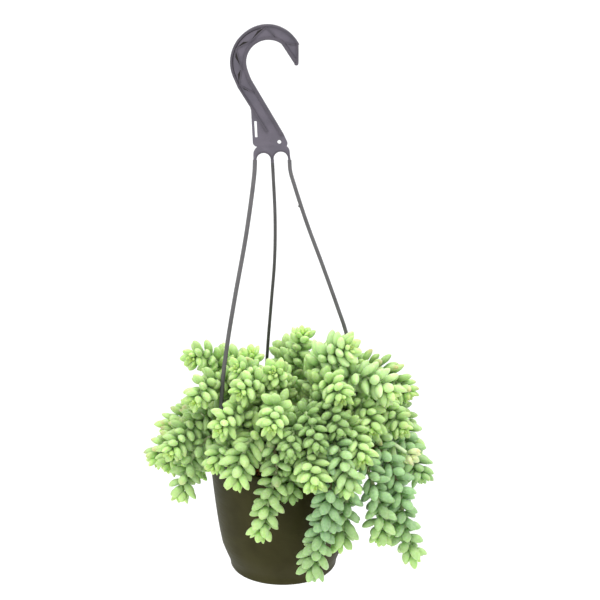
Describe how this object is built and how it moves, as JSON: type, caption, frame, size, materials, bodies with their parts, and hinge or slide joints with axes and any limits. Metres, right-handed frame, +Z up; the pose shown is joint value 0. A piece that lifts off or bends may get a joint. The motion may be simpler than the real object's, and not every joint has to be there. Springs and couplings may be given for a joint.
{
  "type": "potted burro's tail plant",
  "caption": "Burro's tail succulent trailing over the rim of a round plastic pot that hangs from a moulded hook with thin strands.",
  "frame": {"origin": "point at the top of the hook's crook that bears on the rod or bracket it hangs from", "axes": "+Z up along gravity as hung, +X to the plant's right in the hook's flat plane, -Y towards the viewer"},
  "size_m": [0.2839, 0.2449, 0.5396],
  "materials": {
    "pot": "moulded, satin",
    "hanger": "moulded, satin",
    "mix": "loose, fibrous",
    "foliage": "waxy, with a pale bloom"
  },
  "bodies": {
    "root": {"hanger": "hanger", "pot": "pot", "potting_mix": "mix", "tail_back_1": "foliage", "tail_back_10": "foliage", "tail_back_11": "foliage", "tail_back_2": "foliage", "tail_back_3": "foliage", "tail_back_4": "foliage", "tail_back_5": "foliage", "tail_back_6": "foliage", "tail_back_7": "foliage", "tail_back_8": "foliage", "tail_back_9": "foliage", "tail_front_1": "foliage", "tail_front_10": "foliage", "tail_front_11": "foliage", "tail_front_12": "foliage", "tail_front_2": "foliage", "tail_front_3": "foliage", "tail_front_4": "foliage", "tail_front_5": "foliage", "tail_front_6": "foliage", "tail_front_7": "foliage", "tail_front_8": "foliage", "tail_front_9": "foliage", "tail_left_1": "foliage", "tail_left_10": "foliage", "tail_left_11": "foliage", "tail_left_12": "foliage", "tail_left_2": "foliage", "tail_left_3": "foliage", "tail_left_4": "foliage", "tail_left_5": "foliage", "tail_left_6": "foliage", "tail_left_7": "foliage", "tail_left_8": "foliage", "tail_left_9": "foliage", "tail_right_1": "foliage", "tail_right_10": "foliage", "tail_right_11": "foliage", "tail_right_2": "foliage", "tail_right_3": "foliage", "tail_right_4": "foliage", "tail_right_5": "foliage", "tail_right_6": "foliage", "tail_right_7": "foliage", "tail_right_8": "foliage", "tail_right_9": "foliage", "tail_top_1": "foliage", "tail_top_2": "foliage", "tail_top_3": "foliage", "tail_top_4": "foliage"}
  },
  "joints": []
}
